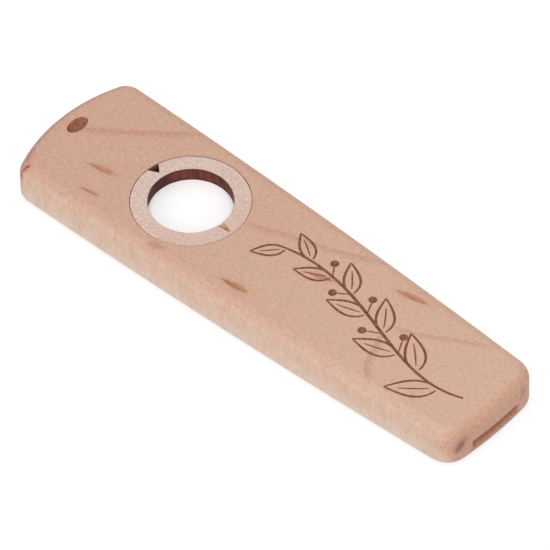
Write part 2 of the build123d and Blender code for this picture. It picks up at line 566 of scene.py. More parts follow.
def body_plan(sizes):
    """The arcs of the body's plan, anticlockwise from the wide end."""
    end_steps = 28
    corner_steps = 14
    side_steps = 56
    half_wide = sizes.wide_end_width / 2
    half_mouth = sizes.mouth_end_width / 2
    wide = Circle(Vector((WIDE_END_X + sizes.wide_end_radius, 0)), sizes.wide_end_radius)
    mouth = Circle(Vector((MOUTH_END_X - sizes.mouth_end_radius, 0)), sizes.mouth_end_radius)
    wide_corner = Vector((wide.centre.x - math.sqrt(wide.radius**2 - half_wide**2), -half_wide))
    mouth_corner = Vector((mouth.centre.x + math.sqrt(mouth.radius**2 - half_mouth**2), -half_mouth))
    middle = (wide_corner + mouth_corner) / 2 - Vector((0, sizes.side_bow))
    side = circle_through(wide_corner, middle, mouth_corner)
    wide_round = corner_centre(wide, side, sizes.wide_corner_radius, wide_corner)
    mouth_round = corner_centre(mouth, side, sizes.mouth_corner_radius, mouth_corner)
    wide_angle = heading(wide.centre, wide_round)
    side_start = heading(side.centre, wide_round)
    side_end = heading(side.centre, mouth_round)
    mouth_angle = heading(mouth.centre, mouth_round)
    wide_arc = Arc(wide_round, sizes.wide_corner_radius, wide_angle, side_start, corner_steps)
    side_arc = Arc(*side, side_start, side_end, side_steps)
    mouth_arc = Arc(mouth_round, sizes.mouth_corner_radius, side_end, mouth_angle, corner_steps)
    return [
        Arc(*wide, -wide_angle, wide_angle, end_steps),
        wide_arc,
        side_arc,
        mouth_arc,
        Arc(*mouth, mouth_angle, -mouth_angle, end_steps),
        mirrored(mouth_arc),
        mirrored(side_arc),
        mirrored(wide_arc),
    ]


def plan_loop(arcs, inset, z):
    """The outline of a plan, drawn in by an inset, at a height."""
    return [(*place, z) for arc in arcs for place in arc_points(arc, inset)]


def round_over(arcs, radius, edge_z, up):
    """Loops of a rounded edge from the upright wall to the flat face at a height."""
    steps = 12
    loops = []
    for i in range(steps + 1):
        angle = math.pi / 2 * i / steps
        inset = radius * (1 - math.cos(angle))
        z = edge_z - up * radius * (1 - math.sin(angle))
        loops.append(plan_loop(arcs, inset, z))
    return loops


def ring_x(sizes):
    """Place of the ring's axis along the body."""
    return WIDE_END_X + sizes.ring_from_wide_end


def oval_loop(x, half_width, half_length, z, steps):
    """An oval round an upright axis, at a height."""
    angles = [math.tau * i / steps for i in range(steps)]
    return [(x + half_width * math.cos(a), half_length * math.sin(a), z) for a in angles]


def recess_cutter(sizes, materials, finish):
    """The air chamber with the ring's recess above it."""
    steps = 160
    soft = sizes.rim_softening
    profile = [
        (sizes.chamber_radius, JOINT_Z - BEYOND),
        (sizes.chamber_radius, LEDGE_Z),
        (sizes.recess_radius, LEDGE_Z),
        (sizes.recess_radius, TOP_Z - soft),
        (sizes.recess_radius + soft + BEYOND, TOP_Z + BEYOND),
    ]
    loops = [oval_loop(ring_x(sizes), radius, radius, z, steps) for radius, z in profile]
    return solid("recess_cutter", loops, materials, finish)


def vent_cutter(sizes, levels, materials, finish):
    """The oval vent, from heights and how far it is widened at each, from the lowest up."""
    steps = 48
    half_width = sizes.vent_width / 2
    half_length = sizes.vent_length / 2
    x = WIDE_END_X + sizes.vent_wall + half_width
    loops = [oval_loop(x, half_width + wider, half_length + wider, z, steps) for z, wider in levels]
    return solid("vent_cutter", loops, materials, finish)


def airway_cutter(sizes, materials, finish):
    """The channel from the mouth slot to the vent, with the round pocket under the membrane."""
    corner_steps = 10
    pocket_steps = 40
    half = sizes.airway_width / 2
    far_x = WIDE_END_X + sizes.vent_wall - sizes.airway_past_vent
    fillet = sizes.airway_end_radius
    pocket = math.asin(half / sizes.chamber_radius)
    centre = Vector((ring_x(sizes), 0))
    outline = [Vector((MOUTH_END_X + BEYOND, -half)), Vector((MOUTH_END_X + BEYOND, half))]
    far_pocket = Arc(centre, sizes.chamber_radius, pocket, math.pi - pocket, pocket_steps)
    far_corner = Arc(Vector((far_x + fillet, half - fillet)), fillet, math.pi / 2, math.pi, corner_steps)
    for arc in (far_pocket, far_corner, mirrored(far_corner), mirrored(far_pocket)):
        outline += arc_points(arc, with_end=True)
    heights = (sizes.airway_floor, JOINT_Z + BEYOND)
    loops = [[(*place, z) for place in outline] for z in heights]
    return solid("airway_cutter", loops, materials, finish)


# Marks in the wood, in millimetres and degrees
GrowthLine = namedtuple("GrowthLine", "start end bow sway spread depth")
GROWTH_LINES = (
    GrowthLine(start=(-57.2, -0.8), end=(-36.8, 14.6), bow=-0.5, sway=-0.2, spread=2.6, depth=0.68),
    GrowthLine(start=(-10.6, 3.2), end=(17.5, 13.9), bow=-0.4, sway=0.25, spread=2.2, depth=0.56),
    GrowthLine(start=(32.0, 1.9), end=(50.0, 10.8), bow=-0.3, sway=-0.3, spread=1.8, depth=0.48),
    GrowthLine(start=(37.6, -12.2), end=(31.5, -1.6), bow=0.8, sway=0.3, spread=2.2, depth=0.6),
)

# How far a growth line moves along the body for each millimetre of depth
GROWTH_SLANT = 1.2

Streak = namedtuple("Streak", "along across length width lean skew depth")
MINERAL_STREAKS = (
    Streak(along=-44.7, across=-6.0, length=7.6, width=1.6, lean=11, skew=0.6, depth=0.7),
    Streak(along=-41.9, across=-12.4, length=5.6, width=0.9, lean=10, skew=0.3, depth=0.8),
    Streak(along=-0.8, across=-11.6, length=8.0, width=1.7, lean=6, skew=0.5, depth=0.9),
    Streak(along=11.5, across=2.4, length=6.2, width=1.5, lean=17, skew=-0.3, depth=0.75),
    Streak(along=29.2, across=10.8, length=9.0, width=1.6, lean=11, skew=0.2, depth=0.8),
    Streak(along=-20.6, across=-14.2, length=5.0, width=2.4, lean=14, skew=-0.2, depth=0.3),
)

Smudge = namedtuple("Smudge", "start end size depth")
END_SMUDGES = (
    Smudge(start=(62.0, -9.8, 6.5), end=(61.7, -10.8, 4.8), size=1.6, depth=0.65),
    Smudge(start=(62.1, 8.8, 6.8), end=(62.1, 8.6, 5.9), size=1.5, depth=0.3),
    Smudge(start=(-56.7, -15.6, 9.7), end=(-57.4, -17.1, 7.3), size=0.6, depth=1.0),
    Smudge(start=(-58.2, -14.2, 9.6), end=(-59.4, -11.0, 9.5), size=0.8, depth=0.3),
)


def figured_wood(colours):
    """Close-grained pinkish wood: growth lines, ray flecks, fine fibres and a few short brown streaks."""
    wood = MaterialGraph("figured_wood")
    fibre = wood.noise((0.8, 2.2, 2.2), detail=4.0, roughness=0.65)
    grain = wood.noise((1.9, 2.2, 2.2), roughness=0.6, shift=8.0)
    pores = wood.step(wood.noise((1.4, 7.0, 7.0), detail=1.0, shift=11.0), 0.6, 0.72)
    mottle = wood.noise((0.9, 1.3, 1.3), detail=3.0, roughness=0.65, shift=19.0)
    curl = wood.noise((0.8, 0.2, 0.25), detail=3.0, shift=13.0)
    speck = (fibre + grain) / 2.0
    upright = wood.step(abs(wood.facing_y) + (curl - 0.5) * 0.3, 0.52, 1.0)
    sideways = upright * wood.step(wood.from_mouth, 1.0, 8.5)
    plain = 1.0 - sideways * 0.6
    tone = wood.mix(sideways * 0.9, face_grain(wood, colours), side_grain(wood, colours, curl))
    tone = end_grain(wood, colours, tone)
    tone = ray_flecks(wood, colours, tone)
    tone = wood.paint(
        tone,
        (wood.step(mottle, 0.5, 0.68) * plain * 0.24, colours.wood_warm),
        (wood.step(mottle, 0.5, 0.32) * plain * 0.36, colours.wood_light),
        (wood.step(speck, 0.5, 0.65) * plain * 0.4, colours.wood_warm),
        (wood.step(speck, 0.5, 0.35) * plain * 0.55, colours.wood_light),
        (pores * 0.1, colours.streak),
    )
    tone = mineral_streaks(wood, colours, tone)
    tone = end_smudges(wood, colours, tone)
    roughness = 0.5 + fibre * 0.14
    height = fibre * 0.5 + grain * 0.3 - pores * 0.6
    return wood.finish(tone, roughness, height, bump_distance=0.00002, specular=0.35)


def face_grain(wood, colours):
    """Tone of the wide faces: clouds, faint bands and growth lines."""
    wander = wood.noise((0.02, 0.04, 0.1)) - 0.5
    waver = wood.noise((0.15, 0.5, 0.5), shift=5.0) - 0.5
    arch = (wood.y * wood.y + 4.0) ** 0.5 * 1.53 + wood.y * 1.03
    figure = wood.x - arch + wood.z * 5.0 + wander * 6.0 + waver * 2.5
    bands = wood.noise((0.2, 0.0, 0.0), detail=3.0, place=wood.vector(figure, 0.0, 0.0))
    cloud = wood.noise((0.04, 0.1, 0.1), shift=7.0)
    return wood.paint(
        colours.wood,
        (wood.step(cloud, 0.35, 0.65), colours.wood_pink),
        (wood.step(wood.x, -50.0, 60.0) * 0.5, colours.wood_light),
        (wood.step(bands, 0.5, 0.75) * 0.14, colours.wood_warm),
        *((growth_mask(wood, line) * line.depth, colours.growth) for line in GROWTH_LINES),
    )


def growth_mask(wood, line):
    """How dark a growth line is: it deepens slowly, ends sharply and slants through the body."""
    start = Vector(line.start)
    chord = Vector(line.end) - start
    forward = chord.normalized()
    from_x = wood.x - start.x - wood.depth * GROWTH_SLANT
    from_y = wood.y - start.y
    along = (from_x * forward.x + from_y * forward.y) / chord.length
    across = from_y * forward.x - from_x * forward.y
    waver = wood.noise((0.2, 0.2, 0.2), shift=chord.length) - 0.5
    bend = along * (1.0 - along) * (4.0 * line.bow) + wood.maths("SINE", along * math.tau) * line.sway
    offset = across - bend + waver * 0.7
    deepening = wood.step(offset, -line.spread, 0.1) ** 1.5
    ending = wood.step(offset, 0.9, 0.1)
    return deepening * ending * wood.step(along, -0.12, 0.1) * wood.step(along, 1.15, 0.88)


def side_grain(wood, colours, curl):
    """Tone of the long sides: pale, with soft upright stripes, and palest low down, where floor light is
    painted in.
    """
    return wood.paint(
        colours.side_wood,
        # painted light: the sides grow paler low down, as if lit from the floor
        (wood.step(wood.z, 6.5, 1.0) * 0.85, colours.side_pale),
        (wood.step(wood.z, 6.2, 8.4) * 0.8, colours.wood_light),
        (wood.step(curl, 0.5, 0.64) * 0.28, colours.side_pale),
        (wood.step(curl, 0.5, 0.36) * 0.14, colours.wood_warm),
    )


def end_grain(wood, colours, tone):
    """Deepens a tone on the ends: warm round-over at the mouth, painted shade on the slot's lower lip and
    on the wide end, and paler mouth corners low down where floor light is painted.
    """
    inside = 1.0 - wood.step(wood.y, -7.5, -11.5) * 0.55
    patchy = wood.step(wood.noise((0.5, 0.2, 0.7), detail=3.0, shift=21.0), 0.36, 0.64)
    ends = wood.step(abs(wood.facing_x), 0.3, 0.9) * inside
    mouth_round = wood.step(wood.facing_x, 0.15, 0.5) * wood.step(wood.facing_x, 0.98, 0.6) * inside
    corner = wood.step(wood.facing_x, 0.1, 0.3) * wood.step(abs(wood.facing_y), 0.5, 0.82)
    # painted light: the mouth end's corners grow paler low down, as if lit from the floor
    corner_tone = wood.mix(wood.step(wood.z, 6.5, 1.5) * 0.8, colours.corner_wood, colours.side_pale)
    # painted shade under the mouth slot
    below_slot = wood.step(wood.z, 2.9, 2.3) * wood.step(abs(wood.y), 9.0, 5.4)
    lip = wood.step(wood.facing_x, 0.2, 0.5) * below_slot
    return wood.paint(
        tone,
        (ends * 0.9, colours.end_wood),
        (mouth_round * (0.2 + patchy * 0.6), colours.end_warm),
        (corner * 0.9, corner_tone),
        (lip * (0.45 + patchy * 0.35), colours.lip),
        # painted shade on the wide end's face
        (wood.step(wood.facing_x, -0.2, -0.6) * 0.8, colours.wide_end),
    )


def ray_flecks(wood, colours, tone):
    """Adds the thin plates that show as flecks where the surface slopes."""
    rays = wood.noise((1.5, 3.0, 0.9), detail=3.0, roughness=0.65, shift=3.0)
    sloped = wood.step(abs(wood.facing_z), 1.0, 0.5)
    return wood.paint(
        tone,
        (wood.step(rays, 0.52, 0.66) * sloped * 0.3, colours.side_pale),
        (wood.step(rays, 0.48, 0.34) * sloped * 0.22, colours.wood_warm),
    )


def mineral_streaks(wood, colours, tone):
    """Adds the short brown streaks, each with darker strands and a faint halo."""
    for streak in MINERAL_STREAKS:
        strands = wood.noise((0.35, 4.0, 1.0), detail=3.0, shift=streak.along)
        distance = streak_distance(wood, streak) + (strands - 0.5) * 1.2
        core = wood.step(distance, 1.15, 0.55) * streak.depth
        tone = wood.paint(
            tone,
            (wood.step(distance, 3.2, 0.5) * 0.22 * streak.depth, colours.streak),
            (core, colours.streak),
            (core * wood.step(strands, 0.46, 0.6), colours.streak_dark),
        )
    return tone


def streak_distance(wood, streak):
    """Distance from the middle of a short pointed streak, where 1 is its edge."""
    lean = math.radians(streak.lean)
    from_x = wood.x - streak.along
    from_y = wood.y - streak.across
    along = (from_x * math.cos(lean) + from_y * math.sin(lean)) / (streak.length / 2)
    across = (from_y * math.cos(lean) - from_x * math.sin(lean)) / (streak.width / 2)
    fullness = wood.maths("MAXIMUM", 1.0 + along * streak.skew, 0.2)
    return along * along + abs(across) / fullness + abs(wood.depth) / 2.0


def end_smudges(wood, colours, tone):
    """Adds the dark marks on the corners of the ends, each along a short line in a redder patch."""
    for spot in END_SMUDGES:
        ragged = wood.noise((0.6, 0.9, 0.6), detail=3.0, shift=spot.size) - 0.5
        line = Vector(spot.end) - Vector(spot.start)
        offset = wood.vector_maths("SUBTRACT", wood.place, spot.start)
        along = wood.vector_maths("DOT_PRODUCT", offset, line / line.length_squared, output="Value")
        share = wood.node("ShaderNodeClamp", sockets={"Value": along})
        foot = wood.vector_maths("MULTIPLY", wood.vector(share, share, share), line)
        reach = wood.vector_maths("DISTANCE", offset, foot, output="Value")
        distance = reach / spot.size + ragged * 1.2
        tone = wood.paint(
            tone,
            (wood.step(distance, 2.8, 0.6) * 0.6 * spot.depth, colours.smudge_halo),
            (wood.step(distance, 1.0, 0.1) * spot.depth, colours.smudge),
        )
    return tone


def milled_wood(colours):
    """Wood of the air way, paler and redder than the body to paint the light that bounces inside it, with
    painted shade at the mouth slot's lower edge.
    """
    wood = MaterialGraph("milled_wood")
    streaks = wood.noise((0.5, 1.6, 2.0), detail=4.0, roughness=0.65, shift=4.0)
    chatter = wood.noise((2.5, 0.8, 0.8), shift=12.0)
    # painted shade on the air way's floor and roof at the mouth
    edge = wood.step(wood.from_mouth, 1.3, 0.1) * wood.step(abs(wood.facing_y), 0.9, 0.4)
    tone = wood.paint(
        colours.milled,
        (wood.step(streaks, 0.4, 0.66) * 0.7, colours.milled_dark),
        (wood.step(chatter, 0.5, 0.7) * 0.3, colours.milled_dark),
        (edge * 0.3, colours.lip),
    )
    height = streaks + chatter * 0.5
    return wood.finish(tone, 0.6 + streaks * 0.15, height, bump_distance=0.00003, specular=0.3)


def browned_wood(colours):
    """Mottled brown burn on the vent's wall, paler further in, which is painted light against the shade
    deep in the vent.
    """
    burn = MaterialGraph("browned_wood")
    mottle = burn.noise((1.3, 1.3, 1.1), detail=4.0, roughness=0.65, shift=6.0)
    soot = burn.noise((4.0, 4.0, 4.0), shift=1.0)
    # painted light: paler towards the depth of the vent
    inner = burn.step(burn.depth, 0.2, 3.5)
    light = burn.mix(inner, colours.vent_rim, colours.vent_deep)
    dark = burn.mix(inner, colours.vent_dark, colours.vent_rim)
    tone = burn.paint(
        dark,
        (burn.step(mottle, 0.36, 0.62), light),
        (burn.step(soot, 0.5, 0.75) * 0.3, colours.vent_dark),
    )
    return burn.finish(tone, 0.65 + mottle * 0.2, mottle + soot, bump_distance=0.00004, specular=0.3)


def from_ring_axis(graph, axis_x):
    """Distance from the ring's axis along the body, and straight from it."""
    along_x = graph.x - axis_x / MILLIMETRE
    return along_x, (along_x * along_x + graph.y * graph.y) ** 0.5


def loose_side(graph, axis_x):
    """1 on the side where painted shade darkens the gap round the ring, falling to 0 on the side where the
    gap is left light.
    """
    from_axis_x, from_axis = from_ring_axis(graph, axis_x)
    towards_unshaded_gap = (from_axis_x * 0.8 - graph.y * 0.6) / from_axis
    return graph.step(towards_unshaded_gap, 0.7, -0.3)


def scorched_wood(colours, axis_x):
    """Burnt wood on the walls of the recess and the air chamber, with painted light near the top and
    painted gap shade on one side only.
    """
    burn = MaterialGraph("scorched_wood")
    mottle = burn.noise((1.6, 1.6, 0.8), detail=4.0, roughness=0.6)
    soot = burn.noise((5.0, 5.0, 5.0), shift=5.0)
    tone = burn.paint(
        colours.scorch_dark,
        (burn.step(mottle, 0.25, 0.75), colours.scorch_light),
        (burn.step(soot, 0.55, 0.75) * 0.35, colours.scorch_dark),
        # painted light: the walls grow paler near the top, where light falls in
        (burn.step(burn.depth, 2.4, 0.4) * 0.85, colours.scorch_pale),
        # painted shade: the recess wall shows plain wood where the gap round the ring is left light
        ((1.0 - loose_side(burn, axis_x)) * 0.9, colours.wood),
    )
    height = mottle + soot * 0.5
    return burn.finish(tone, 0.6 + mottle * 0.2, height, bump_distance=0.00003, specular=0.3)


def burnt_line(colours):
    """The shallow brown burn of the sprig's lines."""
    burn = MaterialGraph("burnt_line")
    mottle = burn.noise((1.1, 1.1, 1.1), detail=4.0, roughness=0.65)
    soot = burn.noise((6.0, 6.0, 6.0), shift=5.0)
    tone = burn.paint(
        colours.line_dark,
        (burn.step(mottle, 0.32, 0.66), colours.line_light),
        (burn.step(soot, 0.5, 0.75) * 0.3, colours.line_dark),
    )
    return burn.finish(tone, 0.65 + mottle * 0.2, mottle + soot, bump_distance=0.00002, specular=0.3)


def pale_ring_wood(colours, sizes, axis_x):
    """Pale close wood with scorched walls, a thin burnt line round its edges that shows only where gap
    shade is painted, and a browned groove.
    """
    wood = MaterialGraph("pale_ring_wood")
    from_axis_x, from_axis = from_ring_axis(wood, axis_x)
    hole = sizes.hole_radius / MILLIMETRE
    outer = sizes.outer_radius / MILLIMETRE
    speckle = wood.noise((1.5, 2.8, 2.8), detail=3.0, roughness=0.7)
    cloud = wood.noise((0.12, 0.3, 0.3), shift=9.0)
    uneven = wood.step(wood.noise((0.3, 0.3, 0.3), shift=15.0), 0.35, 0.65)
    towards_warm_side = from_axis_x * 0.9 - wood.y * 0.44
    # painted shade: the burnt line at the ring's outer edge shows only on the gap's shaded side
    outer_edge = wood.step(from_axis, outer - 0.22, outer - 0.02) * loose_side(wood, axis_x)
    hole_edge = wood.step(from_axis, hole + 0.22, hole + 0.02)
    wall = wood.step(wood.facing_z, 0.8, 0.5)
    along, across = groove_place(wood, sizes, from_axis_x)
    tone = wood.paint(
        colours.ring_wood,
        (wood.step(speckle, 0.38, 0.62) * 0.8, colours.ring_warm),
        (wood.step(cloud, 0.4, 0.7) * 0.2, colours.ring_warm),
        (wood.step(towards_warm_side, -3.0, 14.0) * 0.24, colours.wood),
        (outer_edge * (0.05 + uneven * 0.65), colours.scorch_light),
        (hole_edge * (0.1 + uneven * 0.4), colours.scorch_light),
        (groove_mask(wood, along, across), groove_tone(wood, colours, along, across)),
        (wall, ring_wall_tone(wood, colours, outer, axis_x)),
    )
    return wood.finish(tone, 0.52 + speckle * 0.16, speckle, bump_distance=0.00002, specular=0.18)


def ring_wall_tone(wood, colours, outer, axis_x):
    """Burnt all round the ring's hole, with painted shade on the side turned from the light, and burnt on
    its outer wall only where gap shade is painted.
    """
    from_axis_x, from_axis = from_ring_axis(wood, axis_x)
    mottle = wood.noise((1.0, 1.0, 0.4), detail=3.0, shift=2.0)
    strands = wood.noise((3.2, 3.2, 0.3), shift=6.0)
    towards_shaded_side = (from_axis_x * -0.98 - wood.y * 0.2) / from_axis
    rims = wood.step(wood.depth, 0.6, 0.1) + wood.step(wood.depth, 2.6, 3.2)
    # the ring's outer wall shows plain ring wood where the gap is left light, so the gap's shade is painted
    # on one side only
    unshaded_gap_wall = wood.step(from_axis, outer - 0.3, outer - 0.1) * (1.0 - loose_side(wood, axis_x))
    return wood.paint(
        colours.scorch_dark,
        (wood.step(mottle, 0.2, 0.7), colours.scorch_light),
        (wood.step(strands, 0.48, 0.66) * 0.6, colours.scorch_dark),
        # painted shade on the side of the hole's wall that is turned from the light
        (wood.step(towards_shaded_side, 0.78, 0.97) * 0.85, colours.scorch_dark),
        (rims * 0.45, colours.scorch_dark),
        (unshaded_gap_wall * 0.9, colours.ring_wood),
    )


def groove_place(wood, sizes, from_axis_x):
    """Place along the groove, from 0 at the hole to 1 at its end, and across it in half widths."""
    turn = sizes.turn + sizes.groove_turn
    outwards = from_axis_x * math.cos(turn) + wood.y * math.sin(turn)
    sideways = wood.y * math.cos(turn) - from_axis_x * math.sin(turn)
    along = (outwards - sizes.hole_radius / MILLIMETRE) / (sizes.groove_length / MILLIMETRE)
    widest = sizes.groove_width / 2 / MILLIMETRE
    narrowest = sizes.groove_tip_width / 2 / MILLIMETRE
    return along, sideways / (widest + (narrowest - widest) * along)


def groove_mask(wood, along, across):
    """1 in the ring's tapered groove and 0 outside it."""
    inside = wood.step(abs(across), 1.12, 0.88)
    return inside * wood.step(along, -0.4, -0.3) * wood.step(along, 1.05, 0.95)


def groove_tone(wood, colours, along, across):
    """Browned wood of the groove, with a warm spot, a dark spot and one edge darkened by painted shade."""
    mottle = wood.noise((1.2, 1.2, 1.2), detail=3.0, shift=17.0)
    warm_spot = wood.step(abs(along - 0.35), 0.3, 0.05) * wood.step(abs(across - 0.3), 0.7, 0.1)
    dark_spot = wood.step(abs(along - 0.62), 0.3, 0.05) * wood.step(abs(across), 1.0, 0.2)
    return wood.paint(
        colours.groove,
        (wood.step(mottle, 0.4, 0.65) * 0.4, colours.ring_warm),
        (warm_spot * 0.8, colours.groove_spot),
        (dark_spot * 0.7, colours.groove_dark),
        # painted shade along one edge of the groove
        (wood.step(across, -0.1, -0.85) * 0.85, colours.groove_dark),
    )


def white_film(colours):
    """Thin white film with a faint cloudiness and a faint painted glow, which brightens it against the
    shade of its recess.
    """
    film = MaterialGraph("white_film")
    cloud = film.noise((0.12, 0.12, 0.12), detail=3.0)
    fine = film.noise((3.0, 3.0, 3.0), shift=4.0)
    tone = film.mix(film.step(cloud, 0.35, 0.75) * 0.5, colours.film, colours.film_shade)
    # painted light: a faint glow on the film
    film.shader.inputs["Emission Strength"].default_value = colours.film_glow
    return film.finish(tone, 0.28 + fine * 0.12, fine, bump_distance=0.000004)


def fibrous_card(colours):
    """Stiff off-white sheet with short fibres in it."""
    card = MaterialGraph("fibrous_card")
    fibre = card.noise((1.0, 5.0, 5.0), detail=3.0)
    cross_fibre = card.noise((5.0, 1.0, 5.0), detail=3.0, shift=6.0)
    marks = card.step(fibre, 0.55, 0.75) + card.step(cross_fibre, 0.55, 0.75)
    tone = card.mix(marks * 0.5, colours.card, colours.card_fibre)
    return card.finish(tone, 0.7 + fibre * 0.15, marks, bump_distance=0.00001)


def stroke(graph, line, radius):
    """A burnt line: a tube along a curve, a little thinner towards its ends."""
    end_share = 0.85
    along = graph.node("GeometryNodeSplineParameter")
    taper = end_share + graph.maths("SINE", along * math.pi) * (1.0 - end_share)
    profile = graph.node("GeometryNodeCurvePrimitiveCircle", sockets={"Resolution": 10, "Radius": 1.0})
    return graph.node(
        "GeometryNodeCurveToMesh",
        sockets={"Curve": line, "Profile Curve": profile, "Scale": radius * taper, "Fill Caps": True},
    )


STEM_POINTS = ("Start", "Start Handle", "End Handle", "End")


def stem_curve(graph):
    """The stem's line, from four named points."""
    points = {name: graph.given("Stem " + name, "Vector") for name in STEM_POINTS}
    return graph.node("GeometryNodeCurvePrimitiveBezierSegment", sockets={"Resolution": 80, **points})


def places_on_stem(graph):
    """Points along the stem, with the heading and the size of what grows there, on alternate sides."""
    part = graph.node(
        "GeometryNodeTrimCurve",
        sockets={"Curve": stem_curve(graph), "Start": graph.given("First"), "End": graph.given("Last")},
    )
    count = graph.given("Count", "Int")
    points = graph.node("GeometryNodeCurveToPoints", sockets={"Curve": part, "Count": count})
    tangent_x, tangent_y, _ = graph.axes(points.out("Tangent"))
    index = graph.node("GeometryNodeInputIndex")
    side = (1.0 - 2.0 * (index % 2.0)) * graph.given("Side")
    direction = graph.maths("ARCTAN2", tangent_y, tangent_x) + side * graph.given("Angle")
    size = 1.0 - index / (count - 1.0) * (1.0 - graph.given("Tip Size"))
    return points, side, direction, size


def strokes_on_stem():
    """Tree for one line of every leaf or stalk along the stem."""
    graph = GeometryGraph("strokes_on_stem")
    points, side, direction, size = places_on_stem(graph)
    unit_line = graph.node("GeometryNodeCurvePrimitiveLine", sockets={"Start": (0, 0, 0), "End": (1, 0, 0)})
    fine_line = graph.node("GeometryNodeResampleCurve", sockets={"Curve": unit_line, "Count": 26})
    share = graph.node("GeometryNodeSplineParameter")
    start = graph.given("Stroke Start")
    reach = start + (graph.given("Stroke End") - start) * share
    bow = graph.maths("SINE", reach**0.8 * math.pi) * graph.given("Bulge")
    curl = reach * reach * graph.given("Curl")
    bent_line = graph.node(
        "GeometryNodeSetPosition",
        sockets={"Geometry": fine_line, "Position": graph.vector(reach, bow + curl, 0.0)},
    )
    full_length = graph.given("Length") * size
    turn = graph.node("FunctionNodeEulerToRotation", sockets={"Euler": graph.vector(0.0, 0.0, direction)})
    instances = graph.node(
        "GeometryNodeInstanceOnPoints",
        sockets={
            "Points": points,
            "Instance": bent_line,
            "Rotation": turn,
            "Scale": graph.vector(full_length, full_length * side, 1.0),
        },
    )
    lines = graph.node("GeometryNodeRealizeInstances", sockets={"Geometry": instances})
    return graph.finish(stroke(graph, lines, graph.given("Line Radius")))


def berries_on_stem():
    """Tree for the round dimples at the ends of the stalks."""
    flatness = 0.45
    graph = GeometryGraph("berries_on_stem")
    points, _, direction, size = places_on_stem(graph)
    reach = graph.given("Length") * size
    reach_x = graph.maths("COSINE", direction) * reach
    reach_y = graph.maths("SINE", direction) * reach
    offset = graph.vector(reach_x, reach_y, 0.0)
    ends = graph.node("GeometryNodeSetPosition", sockets={"Geometry": points, "Offset": offset})
    ball = graph.node("GeometryNodeMeshUVSphere", sockets={"Segments": 24, "Rings": 12, "Radius": 1.0})
    radius = graph.given("Berry Radius")
    scale = graph.vector(radius, radius, radius * flatness)
    instances = graph.node(
        "GeometryNodeInstanceOnPoints", sockets={"Points": ends, "Instance": ball, "Scale": scale}
    )
    return graph.finish(instances)


def stem_line():
    """Tree for the stem's own line."""
    graph = GeometryGraph("stem_line")
    fine_line = graph.node("GeometryNodeResampleCurve", sockets={"Curve": stem_curve(graph), "Count": 90})
    return graph.finish(stroke(graph, fine_line, graph.given("Line Radius")))


def engraving(sprig, scorch):
    """The cutters of the sprig, each of which crosses only what another has cut."""
    thin_line = sprig.line_radius * 0.85
    thick_line = sprig.line_radius * 1.12
    first_leaf = 0.1
    leafy_share = 0.87
    leaf_step = leafy_share / (sprig.leaf_count - 1)
    first_berry = first_leaf + leaf_step * 2
    stem_points = (sprig.stem_start, sprig.stem_start_handle, sprig.stem_end_handle, sprig.stem_end)
    stem = {"Material": scorch}
    for name, place in zip(STEM_POINTS, stem_points):
        stem["Stem " + name] = (*place, TOP_Z + sprig.line_lift)
    leaves = {
        **stem,
        "First": first_leaf,
        "Last": first_leaf + leafy_share,
        "Count": sprig.leaf_count,
        "Side": 1.0,
        "Angle": sprig.leaf_angle,
        "Tip Size": sprig.tip_size,
        "Length": sprig.leaf_length,
        "Curl": sprig.leaf_curl,
    }
    berries = {
        **stem,
        "First": first_berry,
        "Last": first_berry + leaf_step * (sprig.berry_count - 1),
        "Count": sprig.berry_count,
        "Side": -1.0,
        "Angle": sprig.leaf_angle * 1.15,
        "Tip Size": 0.8,
        "Length": sprig.stalk_length,
        "Curl": 0.0,
    }
    edge = {**leaves, "Stroke Start": 0.05, "Stroke End": 1.0, "Line Radius": sprig.line_radius}
    straight = {"Bulge": 0.0, "Line Radius": thin_line}
    strokes = strokes_on_stem()
    return [
        grow("leaf_edges", strokes, {**edge, "Bulge": sprig.leaf_bulge}),
        grow("other_leaf_edges", strokes, {**edge, "Bulge": -sprig.leaf_bulge}),
        grow("leaf_ribs", strokes, {**leaves, **straight, "Stroke Start": 0.16, "Stroke End": 0.74}),
        grow("berry_stalks", strokes, {**berries, **straight, "Stroke Start": 0.08, "Stroke End": 0.85}),
        grow("berries", berries_on_stem(), {**berries, "Berry Radius": sprig.berry_radius}),
        grow("stem", stem_line(), {**stem, "Line Radius": thick_line}),
    ]


def ring_tree():
    """Tree for a flat ring: a softened rectangle swept round a circle."""
    graph = GeometryGraph("turned_ring")
    inner = graph.given("Inner Radius")
    outer = graph.given("Outer Radius")
    low = graph.given("Low")
    high = graph.given("High")
    circle = graph.node(
        "GeometryNodeCurvePrimitiveCircle", sockets={"Resolution": 160, "Radius": (inner + outer) / 2.0}
    )
    upright = graph.node("GeometryNodeSetCurveNormal", {"mode": "Z_UP"}, {"Curve": circle})
    rectangle = graph.node(
        "GeometryNodeCurvePrimitiveQuadrilateral", sockets={"Width": outer - inner, "Height": high - low}
    )
    softened = graph.node(
        "GeometryNodeFilletCurve",
        {"mode": "POLY"},
        {"Curve": rectangle, "Count": 2, "Radius": graph.given("Softening")},
    )
    swept = graph.node("GeometryNodeCurveToMesh", sockets={"Curve": upright, "Profile Curve": softened})
    place = graph.vector(graph.given("Axis Place"), 0.0, (low + high) / 2.0)
    placed = graph.node("GeometryNodeTransform", sockets={"Geometry": swept, "Translation": place})
    return graph.finish(placed)


def turned_ring(name, axis_x, radii, heights, softening, material):
    """A flat ring on an upright axis, from its two radii and its two heights."""
    values = {
        "Inner Radius": radii[0],
        "Outer Radius": radii[1],
        "Low": heights[0],
        "High": heights[1],
        "Softening": softening,
        "Axis Place": axis_x,
        "Material": material,
    }
    return grow(name, ring_tree(), values)


